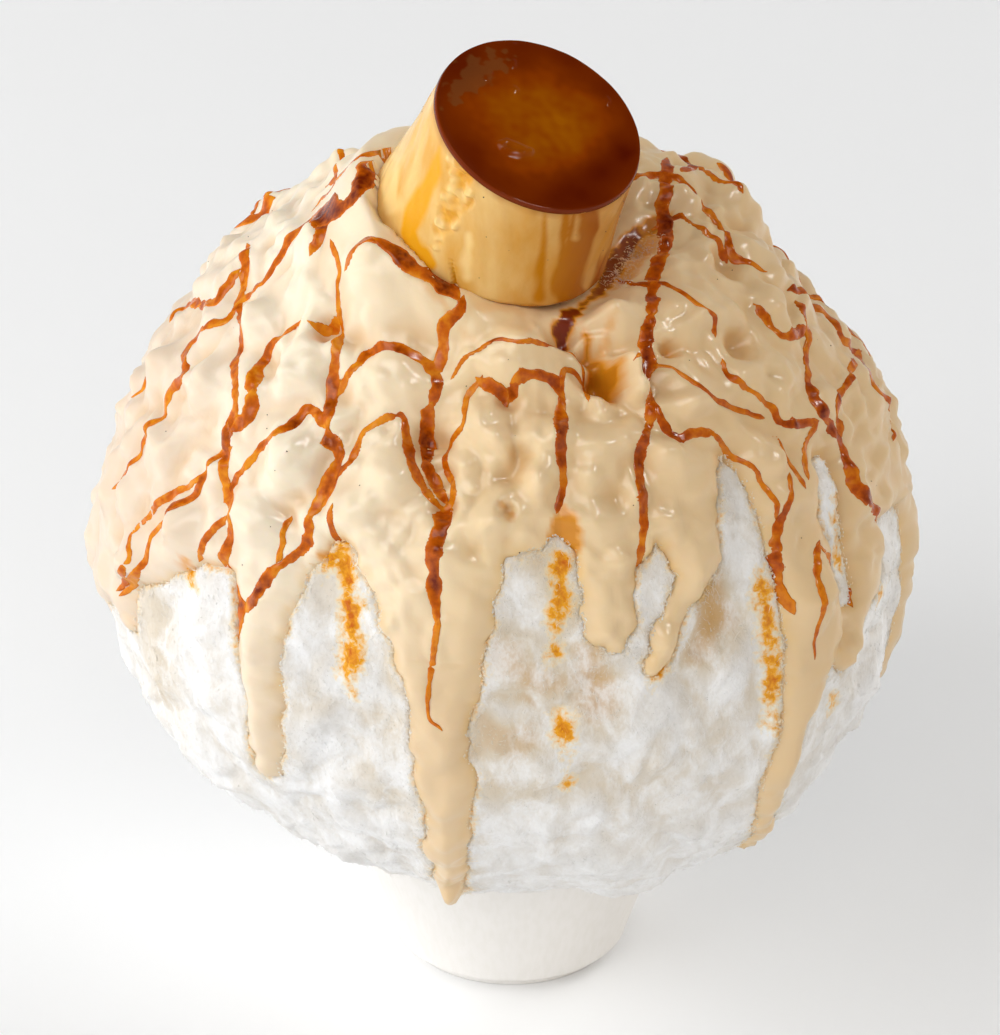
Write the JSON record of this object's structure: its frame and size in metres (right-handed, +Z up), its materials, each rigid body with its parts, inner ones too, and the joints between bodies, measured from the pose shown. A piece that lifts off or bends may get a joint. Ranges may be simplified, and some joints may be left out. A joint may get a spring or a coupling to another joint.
{
  "type": "shaved ice dessert",
  "caption": "Tall round heap of shaved ice over a small white cup, coated with dripping custard cream and caramel sauce, with a caramel pudding leaning on top.",
  "frame": {"origin": "middle of the underside of the cup's foot, on the table", "axes": "+Z up, -Y towards the viewer in front of the dessert, +X to the viewer's right"},
  "size_m": [0.1854, 0.1853, 0.2319],
  "materials": {
    "cup": "unglazed, matte",
    "ice": "fluffy shaved ice, translucent white",
    "cream": "smooth custard cream, soft sheen",
    "pudding": "moist baked custard",
    "caramel": "clear glossy caramel"
  },
  "bodies": {
    "root": {"cup": "cup", "ice_mound": "ice", "custard_cream": "cream", "pudding": "pudding", "pudding_caramel": "caramel"}
  },
  "joints": []
}
